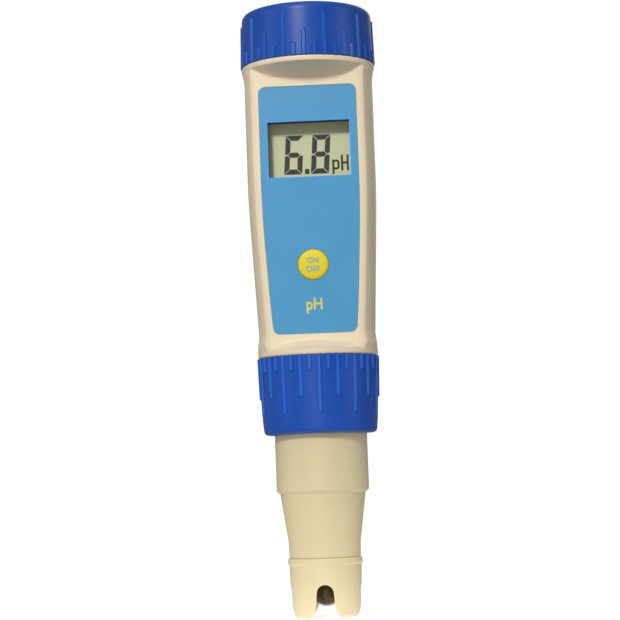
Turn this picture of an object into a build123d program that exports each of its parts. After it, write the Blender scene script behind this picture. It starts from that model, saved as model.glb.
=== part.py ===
from build123d import *
from math import asin, cos, degrees, radians, sin
import os

os.makedirs("parts", exist_ok=True)

# Waterproof pen meter standing on its probe tip: +Z to the battery cap, face towards -Y.
TIP_Z = 0.0
TOP_Z = 178.0

# Barrel
FACE_Y = -11.0
FACE_WALL = 2.0
FACE_INNER_Y = FACE_Y + FACE_WALL
FULLNESS = 1.10
BARREL_EDGE_R = 3.0
BORE_R = 15.0
DISPLAY_BAY_R = 16.6
DISPLAY_BAY_Z = 120.0
LIP_BOTTOM_Z = 75.55
LIP_TOP_Z = 77.2
LIP_R = 17.6
LOWER_FOLD_Z = 80.1
UPPER_FOLD_Z = 157.3
RIM_BOTTOM_Z = 160.35
RIM_TOP_Z = 161.75
RIM_R = 19.77
BULKHEAD_Z = 77.0
BULKHEAD_TOP_Z = 79.0

# Screw joints at both ends
LEAD = 3.0
RIDGE_ROOT = 0.62
RIDGE_TIP = 0.35
UPPER_NECK_R = 16.3
UPPER_NECK_TOP_Z = 172.5
LOWER_NECK_R = 14.6
LOWER_NECK_BORE_R = 12.9
LOWER_NECK_BOTTOM_Z = 62.0

# Battery cap and sensor collar
CAP_BOTTOM_Z = 161.85
CAP_BORE_R = 17.45
CAP_CEILING_Z = 175.8
COLLAR_TOP_Z = 75.45
COLLAR_BOTTOM_Z = 53.1
COLLAR_BORE_R = 15.75
COLLAR_LIP_R = 13.75
RIB_PITCH = 9.0
RIB_COUNT = 40

# Label, window, display
LABEL_TOP_Z = 154.4
LABEL_BOTTOM_Z = 82.0
LABEL_RECESS = 0.45
LABEL_THICK = 0.3
LABEL_Y = FACE_Y + LABEL_RECESS - LABEL_THICK
WINDOW_W = 23.9
WINDOW_H = 16.3
WINDOW_Z = 135.85
LCD_Y = -6.0
GLASS_T = 1.0
LCD_W = 27.0
LCD_H = 18.8
INK_T = 0.06
DIGIT_Z = 129.3
DIGIT_H = 11.5
DIGIT_W = 5.3
SEG_T = 1.5
SLANT = 4.3
BOARD_Y = -1.0
BOARD_T = 1.6
BOARD_Z = 114.4
SCREW_X = 12.9
SCREW_SPOTS_Z = (90.4, 134.4)

# Button
BUTTON_Z = 101.9
BUTTON_R = 4.45
BUTTON_GAP = 0.08

# Sensor
SLEEVE_R = 13.5
SLEEVE_BOTTOM_Z = 36.65
SHELL_BOTTOM_Z = 17.3
SHELL_TOP_Z = 68.0
GUARD_BORE_R = 8.0
STEM_R = 4.0
BULB_R = 4.4
BULB_Z = 7.4
JUNCTION_X = 6.1
JUNCTION_R = 0.84


def front_plane(y, z=0.0, x=0.0):
    """Plane facing the front; its local y is +Z."""
    return Plane(origin=(x, y, z), x_dir=(1, 0, 0), z_dir=(0, -1, 0))


def outward_plane(angle, radius, height):
    """Plane tangent to a cylinder, angle counted from the front towards +X."""
    a = radians(angle)
    direction = (sin(a), -cos(a), 0)
    origin = (radius * sin(a), -radius * cos(a), height)
    return Plane(origin=origin, x_dir=(cos(a), sin(a), 0), z_dir=direction)


def barrel_section(height, half_width):
    """D-shaped section: round back, fuller front shoulders, flat face."""
    depth = half_width * FULLNESS
    turn = degrees(asin(-FACE_Y / depth))
    edge_x = half_width * cos(radians(turn))
    with BuildSketch(Plane.XY.offset(height)) as section:
        with BuildLine():
            ThreePointArc((half_width, 0), (0, half_width), (-half_width, 0))
            EllipticalCenterArc((0, 0), half_width, depth, start_angle=180, arc_size=turn)
            Line((-edge_x, FACE_Y), (edge_x, FACE_Y))
            EllipticalCenterArc((0, 0), half_width, depth, start_angle=-turn, arc_size=turn)
        make_face()
        fillet(section.vertices().group_by(Axis.Y)[0], BARREL_EDGE_R)
    return section.sketch


def ledge_section(height, half_width, front_y):
    """Cross-section of a sloped ledge; its front edge is an arc or a straight fold."""
    back_y = FACE_Y + 1.0
    side_y = FACE_Y - 0.02
    with BuildSketch(Plane.XY.offset(height)) as section:
        with BuildLine():
            Line((half_width, back_y), (-half_width, back_y))
            Line((-half_width, back_y), (-half_width, side_y))
            ThreePointArc((-half_width, side_y), (0, front_y), (half_width, side_y))
            Line((half_width, side_y), (half_width, back_y))
        make_face()
    return section.sketch


def thread_ridge(radius, z_start, turns, height):
    """Trapezoid ridge on a helix; a negative height points inwards."""
    root = -0.25 if height > 0 else 0.25
    with BuildPart() as ridge:
        with BuildLine() as path:
            Helix(pitch=LEAD, height=LEAD * turns, radius=radius, center=(0, 0, z_start))
        start = path.line @ 0
        with BuildSketch(Plane(origin=start, x_dir=(1, 0, 0), z_dir=path.line % 0)):
            with BuildLine():
                Polyline(
                    (root, -RIDGE_ROOT), (height, -RIDGE_TIP), (height, RIDGE_TIP), (root, RIDGE_ROOT),
                    close=True,
                )
            make_face()
        sweep(is_frenet=True)
    return ridge.part


def ring(outer, inner, z_low, z_high, mode=Mode.ADD):
    """Round ring on the instrument axis."""
    with BuildSketch(Plane.XY.offset(z_low)) as section:
        Circle(outer)
        if inner > 0:
            Circle(inner, mode=Mode.SUBTRACT)
    extrude(section.sketch, amount=z_high - z_low, mode=mode)


def block(x_range, y_range, z_range, mode=Mode.ADD):
    """Rectangular block given by its limits."""
    width = x_range[1] - x_range[0]
    height = z_range[1] - z_range[0]
    centre_x = (x_range[0] + x_range[1]) / 2
    centre_z = (z_range[0] + z_range[1]) / 2
    with BuildSketch(front_plane(y_range[0], centre_z, centre_x)) as section:
        Rectangle(width, height)
    extrude(section.sketch, amount=-(y_range[1] - y_range[0]), mode=mode)


def rib_outline(width, length, direction):
    """Rib drawn from the edge at local y = 0, ending in a half round."""
    straight = length - width / 2
    with Locations((0, direction * straight / 2)):
        Rectangle(width, straight)
    with Locations((0, direction * straight)):
        Circle(width / 2)


def label_outline(margin):
    """Label outline with sides that follow the barrel."""
    with BuildLine() as outline:
        Polyline(
            (12.0 + margin, LABEL_BOTTOM_Z - margin),
            (-12.0 - margin, LABEL_BOTTOM_Z - margin),
        )
        Spline(
            (-12.0 - margin, LABEL_BOTTOM_Z - margin),
            (-12.75 - margin, 92),
            (-13.6 - margin, 107),
            (-14.22 - margin, 124),
            tangents=((-0.09, 1), (0, 1)),
        )
        Line((-14.22 - margin, 124), (-14.22 - margin, LABEL_TOP_Z + margin))
        Line((-14.22 - margin, LABEL_TOP_Z + margin), (14.22 + margin, LABEL_TOP_Z + margin))
        Line((14.22 + margin, LABEL_TOP_Z + margin), (14.22 + margin, 124))
        Spline(
            (14.22 + margin, 124),
            (13.6 + margin, 107),
            (12.75 + margin, 92),
            (12.0 + margin, LABEL_BOTTOM_Z - margin),
            tangents=((0, -1), (-0.09, -1)),
        )
    make_face(outline.edges())


def letter(name, x, y, size, stroke, width):
    """Plain block letter with its lower left corner at (x, y), drawn in the current sketch."""
    corner = (Align.MIN, Align.MIN)
    bars = {
        "H": ((0, 0, stroke, size), (width - stroke, 0, stroke, size), (0, (size - stroke) / 2, width, stroke)),
        "N": ((0, 0, stroke, size), (width - stroke, 0, stroke, size)),
        "F": (
            (0, 0, stroke, size), (0, size - stroke, width * 0.9, stroke),
            (0, size * 0.45, width * 0.75, stroke),
        ),
        "O": (),
        "p": ((0, -size * 0.32, stroke, size * 1.02),),
    }
    for left, low, wide, tall in bars[name]:
        with Locations((x + left, y + low)):
            Rectangle(wide, tall, align=corner)
    if name == "N":
        with BuildLine() as diagonal:
            Polyline(
                (x, y + size), (x + stroke * 1.2, y + size),
                (x + width, y), (x + width - stroke * 1.2, y), close=True,
            )
        make_face(diagonal.edges())
    if name in ("O", "p"):
        tall = size if name == "O" else size * 0.7
        with BuildSketch(mode=Mode.PRIVATE) as bowl:
            with Locations((x + width / 2, y + tall / 2)):
                RectangleRounded(width, tall, width * 0.42)
                RectangleRounded(width - 2 * stroke, tall - 2 * stroke, width * 0.2, mode=Mode.SUBTRACT)
        add(bowl.sketch)


def word(text, centre_x, base_y, size, stroke):
    """Row of block letters centred on centre_x."""
    pitch = size * 0.95
    left = centre_x - (pitch * (len(text) - 1) + size * 0.72) / 2
    for index, name in enumerate(text):
        letter(name, left + index * pitch, base_y, size, stroke, size * 0.72)


# ---------------------------------------------------------------- housing
barrel_sections = [
    barrel_section(82.2, 17.08),
    barrel_section(92.6, 17.55),
    barrel_section(107.0, 18.24),
    barrel_section(120.0, 18.85),
    barrel_section(132.0, 18.97),
]
upper_ledge = [
    ledge_section(UPPER_FOLD_Z, 11.5, FACE_Y - 0.06),
    ledge_section(RIM_BOTTOM_Z + 0.3, 16.4, -19.6),
]
lower_ledge = [
    ledge_section(LIP_TOP_Z - 0.3, 13.5, -17.5),
    ledge_section(LOWER_FOLD_Z, 8.2, FACE_Y - 0.06),
]
upper_neck_ridge = thread_ridge(UPPER_NECK_R, 166.0, 1.9, 0.8)
lower_neck_ridge = thread_ridge(LOWER_NECK_R, 64.0, 2.0, 0.7)
cap_ridge = thread_ridge(CAP_BORE_R, 167.5, 1.0, -0.7)
collar_ridge = thread_ridge(COLLAR_BORE_R, 65.5, 1.0, -0.7)

with BuildPart() as housing:
    loft(sections=barrel_sections)
    loft(sections=[barrel_section(132.0, 18.97), barrel_section(UPPER_FOLD_Z, 18.97)], ruled=True)
    loft(
        sections=[barrel_section(UPPER_FOLD_Z, 18.97), barrel_section(RIM_BOTTOM_Z + 0.2, 19.55)],
        ruled=True,
    )
    loft(sections=[barrel_section(79.2, 17.55), barrel_section(82.2, 17.08)], ruled=True)
    loft(sections=upper_ledge, ruled=True)
    loft(sections=lower_ledge, ruled=True)
    with BuildSketch(Plane.XY.offset(LIP_TOP_Z - 0.5)):
        Circle(17.55)
        with Locations((0, FACE_Y)):
            Rectangle(60, 30, align=(Align.CENTER, Align.MAX), mode=Mode.SUBTRACT)
    extrude(amount=79.2 - LIP_TOP_Z + 0.5)
    ring(LIP_R, 0, LIP_BOTTOM_Z, LIP_TOP_Z)
    ring(RIM_R, 0, RIM_BOTTOM_Z, RIM_TOP_Z)
    rims = housing.edges().filter_by(GeomType.CIRCLE).filter_by_position(Axis.Z, RIM_TOP_Z, RIM_TOP_Z)
    fillet(rims, 0.4)
    ring(UPPER_NECK_R, 0, RIM_TOP_Z, UPPER_NECK_TOP_Z)
    ring(LOWER_NECK_R, 0, LOWER_NECK_BOTTOM_Z, LIP_BOTTOM_Z)
    # O-ring groove under the upper thread
    ring(UPPER_NECK_R + 1, 15.95, 162.6, 164.4, mode=Mode.SUBTRACT)
    # Barrel cavity behind the flat face
    for radius, z_low, z_high in (
        (BORE_R, BULKHEAD_TOP_Z, DISPLAY_BAY_Z),
        (DISPLAY_BAY_R, DISPLAY_BAY_Z, UPPER_FOLD_Z),
        (BORE_R, UPPER_FOLD_Z, UPPER_FOLD_Z + 1.5),
    ):
        with BuildSketch(Plane.XY.offset(z_low)):
            Circle(radius)
            with Locations((0, FACE_INNER_Y)):
                Rectangle(60, 30, align=(Align.CENTER, Align.MAX), mode=Mode.SUBTRACT)
        extrude(amount=z_high - z_low, mode=Mode.SUBTRACT)
    ring(BORE_R, 0, UPPER_FOLD_Z + 1.5, UPPER_NECK_TOP_Z, mode=Mode.SUBTRACT)
    # Sensor bay below the bulkhead
    ring(LOWER_NECK_BORE_R, 0, LOWER_NECK_BOTTOM_Z, BULKHEAD_Z, mode=Mode.SUBTRACT)
    ring(8.0, 0, BULKHEAD_Z - 1, BULKHEAD_TOP_Z + 1, mode=Mode.SUBTRACT)
    # Label recess
    with BuildSketch(front_plane(FACE_Y)) as recess:
        label_outline(0.12)
        fillet(recess.vertices().group_by(Axis.Y)[0], 2.0)
        fillet(recess.vertices().group_by(Axis.Y)[-1], 2.0)
    extrude(amount=-LABEL_RECESS, mode=Mode.SUBTRACT)
    # Window opening with a seat for the lens, and the button hole
    block((-12.1, 12.1), (FACE_Y - 1, -8.0), (WINDOW_Z - 8.3, WINDOW_Z + 8.3), mode=Mode.SUBTRACT)
    block((-13.6, 13.6), (-10.0, -8.0), (WINDOW_Z - 9.8, WINDOW_Z + 9.8), mode=Mode.SUBTRACT)
    with BuildSketch(front_plane(FACE_Y - 1, BUTTON_Z)):
        Circle(BUTTON_R + BUTTON_GAP)
    extrude(amount=-4, mode=Mode.SUBTRACT)
    # Ledges that carry the circuit board
    ledge_depth = (BOARD_Y + BOARD_T, BOARD_Y + BOARD_T + 2.0)
    for side in (-1, 1):
        block(sorted((side * 12.3, side * 15.4)), ledge_depth, (84, DISPLAY_BAY_Z))
        block(sorted((side * 12.3, side * 16.9)), ledge_depth, (DISPLAY_BAY_Z, 136))
    add(upper_neck_ridge)
    add(lower_neck_ridge)
housing.part.label = "housing"
export_step(housing.part, "parts/housing.step")

with BuildPart() as front_label:
    with BuildSketch(front_plane(LABEL_Y)) as film:
        label_outline(0.0)
        fillet(film.vertices().group_by(Axis.Y)[0], 1.9)
        fillet(film.vertices().group_by(Axis.Y)[-1], 1.9)
        with Locations((0, WINDOW_Z)):
            Rectangle(WINDOW_W, WINDOW_H, mode=Mode.SUBTRACT)
        with Locations((0, BUTTON_Z)):
            Circle(BUTTON_R + BUTTON_GAP, mode=Mode.SUBTRACT)
    extrude(amount=-LABEL_THICK)
front_label.part.label = "front_label"
export_step(front_label.part, "parts/front_label.step")

with BuildPart() as ph_marking:
    with BuildSketch(front_plane(LABEL_Y, 88.9)):
        word("pH", 0, 0, 3.3, 0.5)
    extrude(amount=0.05)
ph_marking.part.label = "ph_marking"
export_step(ph_marking.part, "parts/ph_marking.step")

with BuildPart() as window_lens:
    block((-12.0, 12.0), (LABEL_Y + LABEL_THICK, -9.9), (WINDOW_Z - 8.2, WINDOW_Z + 8.2))
    block((-13.5, 13.5), (-9.98, -8.8), (WINDOW_Z - 9.7, WINDOW_Z + 9.7))
window_lens.part.label = "window_lens"
export_step(window_lens.part, "parts/window_lens.step")

# ---------------------------------------------------------------- display
with BuildPart() as display_gasket:
    block((-13.2, 13.2), (-8.8, LCD_Y), (WINDOW_Z - LCD_H / 2, WINDOW_Z + LCD_H / 2))
    block((-12.2, 12.2), (-9.0, LCD_Y + 1), (WINDOW_Z - 8.5, WINDOW_Z + 8.5), mode=Mode.SUBTRACT)
display_gasket.part.label = "display_gasket"
export_step(display_gasket.part, "parts/display_gasket.step")

with BuildPart() as lcd_front_glass:
    block((-LCD_W / 2, LCD_W / 2), (LCD_Y, LCD_Y + GLASS_T), (WINDOW_Z - LCD_H / 2, WINDOW_Z + LCD_H / 2))
lcd_front_glass.part.label = "lcd_front_glass"
export_step(lcd_front_glass.part, "parts/lcd_front_glass.step")

SEG_Y = LCD_Y + GLASS_T


def lean(points):
    """Slants a list of (x, z) points about the digits' base line."""
    return [(x + sin(radians(SLANT)) * (z - DIGIT_Z), z) for x, z in points]


def segment(points):
    """One LCD segment as a slanted polygon in the current sketch."""
    with BuildLine() as outline:
        Polyline(*lean(points), close=True)
    make_face(outline.edges())


def digit(centre_x, lit):
    """Seven-segment digit with mitred corners; lit holds the letters of the dark segments."""
    gap = 0.12
    middle_x = centre_x - sin(radians(SLANT)) * DIGIT_H / 2
    for side, upper, lower in ((-1, "f", "e"), (1, "b", "c")):
        outer = middle_x + side * DIGIT_W / 2
        inner = outer - side * SEG_T
        for name, end, half in ((upper, DIGIT_Z + DIGIT_H, 1), (lower, DIGIT_Z, -1)):
            middle_z = DIGIT_Z + DIGIT_H / 2
            if name in lit:
                segment((
                    (outer, end - half * gap), (inner, end - half * (SEG_T + gap)),
                    (inner, middle_z + half * (SEG_T / 2 + gap)), ((outer + inner) / 2, middle_z + half * gap),
                    (outer, middle_z + half * (gap + 0.25)),
                ))
    low_x, high_x = middle_x - DIGIT_W / 2 + gap, middle_x + DIGIT_W / 2 - gap
    for name, end, half in (("a", DIGIT_Z + DIGIT_H, 1), ("d", DIGIT_Z, -1)):
        if name in lit:
            segment((
                (low_x, end), (high_x, end), (high_x - SEG_T, end - half * SEG_T),
                (low_x + SEG_T, end - half * SEG_T),
            ))
    if "g" in lit:
        middle_z = DIGIT_Z + DIGIT_H / 2
        reach = SEG_T / 2
        segment((
            (low_x + reach, middle_z), (low_x + SEG_T, middle_z + reach),
            (high_x - SEG_T, middle_z + reach), (high_x - reach, middle_z),
            (high_x - SEG_T, middle_z - reach), (low_x + SEG_T, middle_z - reach),
        ))


with BuildPart() as lcd_segments:
    with BuildSketch(front_plane(SEG_Y)):
        digit(-4.75, "acdefg")
        digit(3.1, "abcdefg")
        with Locations((-1.05, DIGIT_Z + 0.75)):
            Rectangle(1.3, 1.5)
        letter("p", 6.4, 130.3, 4.2, 0.6, 2.15)
        letter("H", 9.0, 129.9, 4.7, 0.6, 2.25)
    extrude(amount=-INK_T)
lcd_segments.part.label = "lcd_segments"
export_step(lcd_segments.part, "parts/lcd_segments.step")

with BuildPart() as lcd_rear_glass:
    block(
        (-LCD_W / 2, LCD_W / 2), (SEG_Y + INK_T, SEG_Y + INK_T + GLASS_T),
        (WINDOW_Z - LCD_H / 2, WINDOW_Z + LCD_H / 2),
    )
lcd_rear_glass.part.label = "lcd_rear_glass"
export_step(lcd_rear_glass.part, "parts/lcd_rear_glass.step")

FRAME_Y = SEG_Y + INK_T + GLASS_T
with BuildPart() as zebra_strips:
    for side in (-1, 1):
        block((-11, 11), (FRAME_Y, BOARD_Y), sorted((WINDOW_Z + side * 7.0, WINDOW_Z + side * 8.6)))
zebra_strips.part.label = "zebra_strips"
export_step(zebra_strips.part, "parts/zebra_strips.step")

with BuildPart() as lcd_reflector:
    block((-11.5, 11.5), (FRAME_Y, FRAME_Y + 0.3), (WINDOW_Z - 6.6, WINDOW_Z + 6.6))
lcd_reflector.part.label = "lcd_reflector"
export_step(lcd_reflector.part, "parts/lcd_reflector.step")

with BuildPart() as display_frame:
    block((-11.6, 11.6), (FRAME_Y + 0.4, BOARD_Y), (WINDOW_Z - 6.5, WINDOW_Z + 6.5))
    block((-9.6, 9.6), (FRAME_Y - 1, BOARD_Y + 1), (WINDOW_Z - 4.5, WINDOW_Z + 4.5), mode=Mode.SUBTRACT)
display_frame.part.label = "display_frame"
export_step(display_frame.part, "parts/display_frame.step")

# ---------------------------------------------------------------- electronics
with BuildPart() as circuit_board:
    with BuildSketch(front_plane(BOARD_Y, BOARD_Z)) as outline:
        Rectangle(28.0, 60.0)
        fillet(outline.vertices(), 1.5)
        for z in SCREW_SPOTS_Z:
            with Locations((-SCREW_X, z - BOARD_Z), (SCREW_X, z - BOARD_Z)):
                Circle(0.75, mode=Mode.SUBTRACT)
    extrude(amount=-BOARD_T)
circuit_board.part.label = "circuit_board"
export_step(circuit_board.part, "parts/circuit_board.step")

with BuildPart() as board_screws:
    for x in (-SCREW_X, SCREW_X):
        for z in SCREW_SPOTS_Z:
            with BuildSketch(front_plane(BOARD_Y, z, x)):
                Circle(1.3)
            extrude(amount=0.8)
            with BuildSketch(front_plane(BOARD_Y, z, x)):
                Circle(0.7)
            extrude(amount=-BOARD_T)
board_screws.part.label = "board_screws"
export_step(board_screws.part, "parts/board_screws.step")

BOARD_BACK_Y = BOARD_Y + BOARD_T

with BuildPart() as controller_blob:
    with BuildSketch(front_plane(BOARD_BACK_Y, 118)):
        Circle(5.5)
    extrude(amount=-1.4)
    fillet(controller_blob.faces().sort_by(Axis.Y)[-1].edges(), 1.2)
controller_blob.part.label = "controller_blob"
export_step(controller_blob.part, "parts/controller_blob.step")

with BuildPart() as amplifier_chip:
    block((-2.5, 2.5), (BOARD_BACK_Y, BOARD_BACK_Y + 1.5), (96.0, 100.0))
    for x in (-1.9, -0.63, 0.63, 1.9):
        block((x - 0.2, x + 0.2), (BOARD_BACK_Y, BOARD_BACK_Y + 0.4), (95.0, 101.0))
amplifier_chip.part.label = "amplifier_chip"
export_step(amplifier_chip.part, "parts/amplifier_chip.step")

with BuildPart() as crystal:
    with BuildSketch(Plane.XY.offset(104.5)):
        with Locations((8.5, BOARD_BACK_Y + 1.5)):
            Circle(1.5)
    extrude(amount=8)
crystal.part.label = "crystal"
export_step(crystal.part, "parts/crystal.step")

with BuildPart() as passives:
    for x in (-9.5, -6.5, 6.0, 9.0):
        for z in (88.5, 92.5, 128.0, 132.0):
            block((x - 0.6, x + 0.6), (BOARD_BACK_Y, BOARD_BACK_Y + 0.8), (z - 1.0, z + 1.0))
passives.part.label = "passives"
export_step(passives.part, "parts/passives.step")

SWITCH_FACE_Y = BOARD_Y - 2.2
with BuildPart() as switch_base:
    block((-3, 3), (SWITCH_FACE_Y, BOARD_Y), (BUTTON_Z - 3, BUTTON_Z + 3))
    with BuildSketch(front_plane(SWITCH_FACE_Y, BUTTON_Z)):
        Circle(1.8)
    extrude(amount=-1.2, mode=Mode.SUBTRACT)
switch_base.part.label = "switch_base"
export_step(switch_base.part, "parts/switch_base.step")

SEAL_BACK_Y = -6.5
with BuildPart() as button_seal:
    with BuildSketch(front_plane(FACE_INNER_Y, BUTTON_Z)):
        Circle(7.4)
        Circle(5.8, mode=Mode.SUBTRACT)
    extrude(amount=FACE_INNER_Y - SEAL_BACK_Y)
    with BuildSketch(front_plane(SEAL_BACK_Y - 0.4, BUTTON_Z)):
        Circle(7.4)
        Circle(1.3, mode=Mode.SUBTRACT)
    extrude(amount=-0.4)
button_seal.part.label = "button_seal"
export_step(button_seal.part, "parts/button_seal.step")

# ---------------------------------------------------------------- seals and contacts
with BuildPart() as cap_oring:
    with BuildSketch(Plane.XZ):
        with Locations((16.65, 163.5)):
            Circle(0.7)
    revolve(axis=Axis.Z)
cap_oring.part.label = "cap_oring"
export_step(cap_oring.part, "parts/cap_oring.step")

with BuildPart() as battery_strips:
    for side in (-1, 1):
        block(sorted((side * 9.2, side * 12.2)), (BOARD_BACK_Y, BOARD_BACK_Y + 0.3), (137, 156))
battery_strips.part.label = "battery_strips"
export_step(battery_strips.part, "parts/battery_strips.step")

PIN_SPOTS = ((4.2, 4.2), (-4.2, 4.2), (-4.2, -4.2), (4.2, -4.2))
SOCKET_BOTTOM_Z = 71.0
SOCKET_TOP_Z = 81.0
with BuildPart() as sensor_socket:
    ring(7.9, 0, SOCKET_BOTTOM_Z, SOCKET_TOP_Z)
    ring(8.9, 0, BULKHEAD_TOP_Z, BULKHEAD_TOP_Z + 1.5)
    with BuildSketch(Plane.XY.offset(SOCKET_BOTTOM_Z)):
        with Locations(*PIN_SPOTS):
            Circle(1.3)
    extrude(amount=SOCKET_TOP_Z - SOCKET_BOTTOM_Z, mode=Mode.SUBTRACT)
sensor_socket.part.label = "sensor_socket"
export_step(sensor_socket.part, "parts/sensor_socket.step")

with BuildPart() as socket_contacts:
    with BuildSketch(Plane.XY.offset(SOCKET_BOTTOM_Z + 0.5)):
        with Locations(*PIN_SPOTS):
            Circle(1.25)
            Circle(0.8, mode=Mode.SUBTRACT)
    extrude(amount=8.0)
    with BuildSketch(Plane.XY.offset(SOCKET_BOTTOM_Z + 8.5)):
        with Locations(*PIN_SPOTS):
            Circle(1.25)
    extrude(amount=2.5)
socket_contacts.part.label = "socket_contacts"
export_step(socket_contacts.part, "parts/socket_contacts.step")

with BuildPart() as socket_leads:
    for x, y in PIN_SPOTS:
        end_y = BOARD_Y - 0.2 if y < 0 else BOARD_BACK_Y + 0.2
        with BuildSketch(Plane.XY.offset(SOCKET_TOP_Z + 1.0)):
            with Locations((x, y)):
                Circle(0.45)
        extrude(amount=2.6)
        block(
            (x - 0.35, x + 0.35), sorted((y, end_y)), (SOCKET_TOP_Z + 2.9, SOCKET_TOP_Z + 3.6),
        )
        block(
            (x - 0.35, x + 0.35), (end_y - 0.2, end_y + 0.2), (SOCKET_TOP_Z + 2.9, SOCKET_TOP_Z + 6.5),
        )
socket_leads.part.label = "socket_leads"
export_step(socket_leads.part, "parts/socket_leads.step")

# ---------------------------------------------------------------- battery tray, hangs from the cap
CELL_R = 5.8
CELL_T = 5.4
CELL_COUNT = 4
CELLS_BOTTOM_Z = 147.0
CELLS_TOP_Z = CELLS_BOTTOM_Z + CELL_COUNT * CELL_T
TRAY_BOTTOM_Z = 145.6
TRAY_PLATE_Z = 170.4
TRAY_TOP_Z = 171.8
with BuildPart() as battery_tray:
    ring(7.4, 0, TRAY_BOTTOM_Z, TRAY_PLATE_Z)
    ring(14.6, 0, TRAY_PLATE_Z, TRAY_TOP_Z)
    ring(5.95, 0, TRAY_BOTTOM_Z + 1.2, TRAY_PLATE_Z, mode=Mode.SUBTRACT)
    ring(2.3, 0, TRAY_PLATE_Z - 1, TRAY_TOP_Z + 1, mode=Mode.SUBTRACT)
    block((-5.0, 5.0), (-8, 0), (CELLS_BOTTOM_Z + 1.5, CELLS_TOP_Z - 1.5), mode=Mode.SUBTRACT)
battery_tray.part.label = "battery_tray"
export_step(battery_tray.part, "parts/battery_tray.step")

with BuildPart() as button_cells:
    for index in range(CELL_COUNT):
        base = CELLS_BOTTOM_Z + index * CELL_T
        ring(CELL_R, 0, base, base + CELL_T - 0.8)
        ring(CELL_R - 1.0, 0, base + CELL_T - 0.8, base + CELL_T - 0.02)
button_cells.part.label = "button_cells"
export_step(button_cells.part, "parts/button_cells.step")

with BuildPart() as tray_contacts:
    ring(5.6, 0, CELLS_TOP_Z + 0.1, CELLS_TOP_Z + 0.4)
    ring(5.6, 0, TRAY_BOTTOM_Z + 1.2, CELLS_BOTTOM_Z)
tray_contacts.part.label = "tray_contacts"
export_step(tray_contacts.part, "parts/tray_contacts.step")

# ---------------------------------------------------------------- battery cap
def rib_family(spots, base_z, radius, reach, width, direction):
    """Ribs on tangent planes; spots holds the (angle, length) pairs of one repeat of the pattern."""
    repeat = RIB_PITCH * len(spots)
    for first, length in spots:
        for step in range(RIB_COUNT // len(spots)):
            with BuildSketch(outward_plane(first + repeat * step, radius, base_z)) as rib:
                rib_outline(width, length, direction)
            extrude(rib.sketch, amount=reach)


CAP_RIBS = ((17.7, 13.1), (8.7, 3.9), (26.7, 3.9), (35.7, 7.7))
with BuildPart() as battery_cap:
    rib_family(CAP_RIBS, CAP_BOTTOM_Z, 18.4, 2.0, 1.15, 1)
    with BuildSketch(Plane.XZ):
        Polygon((0, 161), (20.0, 161), (20.0, CAP_BOTTOM_Z), (19.6, TOP_Z), (0, TOP_Z), align=None)
    revolve(axis=Axis.Z, mode=Mode.INTERSECT)
    with BuildSketch(Plane.XZ) as shell:
        with BuildLine():
            Line((0, CAP_BOTTOM_Z), (19.55, CAP_BOTTOM_Z))
            Line((19.55, CAP_BOTTOM_Z), (19.15, TOP_Z - 2.0))
            TangentArc((19.15, TOP_Z - 2.0), (17.15, TOP_Z), tangent=(0, 1))
            Line((17.15, TOP_Z), (0, TOP_Z))
            Line((0, TOP_Z), (0, CAP_BOTTOM_Z))
        make_face()
    revolve(axis=Axis.Z)
    ring(CAP_BORE_R, 0, CAP_BOTTOM_Z - 1, CAP_CEILING_Z, mode=Mode.SUBTRACT)
    add(cap_ridge)
battery_cap.part.label = "battery_cap"
export_step(battery_cap.part, "parts/battery_cap.step")

with BuildPart() as swivel_rivet:
    ring(3.4, 0, 169.4, 170.2)
    ring(2.0, 0, 170.2, CAP_CEILING_Z)
    ring(4.5, 0, TRAY_TOP_Z + 0.3, CAP_CEILING_Z)
swivel_rivet.part.label = "swivel_rivet"
export_step(swivel_rivet.part, "parts/swivel_rivet.step")

# ---------------------------------------------------------------- button
with BuildPart() as power_button:
    with BuildSketch(front_plane(FACE_Y - 0.5, BUTTON_Z)):
        Circle(BUTTON_R)
    extrude(amount=-2.7)
    crown = power_button.faces().sort_by(Axis.Y)[0].edges()
    fillet(crown, 0.5)
    with BuildSketch(front_plane(-8.8, BUTTON_Z)):
        Circle(5.5)
    extrude(amount=-1.0)
    with BuildSketch(front_plane(-8.0, BUTTON_Z)):
        Circle(1.0)
    extrude(amount=-4.3)
power_button.part.label = "power_button"
export_step(power_button.part, "parts/power_button.step")

with BuildPart() as button_marking:
    with BuildSketch(front_plane(FACE_Y - 0.5, BUTTON_Z)):
        word("ON", 0, 0.45, 1.65, 0.26)
        word("OFF", 0, -2.1, 1.65, 0.26)
    extrude(amount=0.04)
button_marking.part.label = "button_marking"
export_step(button_marking.part, "parts/button_marking.step")

with BuildPart() as switch_plunger:
    with BuildSketch(front_plane(-3.7, BUTTON_Z)):
        Circle(1.55)
    extrude(amount=-1.2)
switch_plunger.part.label = "switch_plunger"
export_step(switch_plunger.part, "parts/switch_plunger.step")

# ---------------------------------------------------------------- sensor module
with BuildPart() as sensor_shell:
    with BuildSketch(Plane.XZ):
        Polygon(
            (0, SHELL_BOTTOM_Z), (10.4, SHELL_BOTTOM_Z), (10.5, 21.8), (12.45, 35.75),
            (SLEEVE_R, SLEEVE_BOTTOM_Z), (SLEEVE_R, 53.0), (13.3, 53.0), (13.3, 55.4),
            (15.2, 55.4), (15.2, 57.0), (12.6, 57.0), (12.6, SHELL_TOP_Z), (0, SHELL_TOP_Z),
            align=None,
        )
    revolve(axis=Axis.Z)
    ring(9.0, 0, SHELL_BOTTOM_Z - 1, 34, mode=Mode.SUBTRACT)
    ring(10.4, 0, 34, SHELL_TOP_Z + 1, mode=Mode.SUBTRACT)
    ring(13.5, 11.85, 64.0, 65.2, mode=Mode.SUBTRACT)
sensor_shell.part.label = "sensor_shell"
export_step(sensor_shell.part, "parts/sensor_shell.step")

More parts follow.
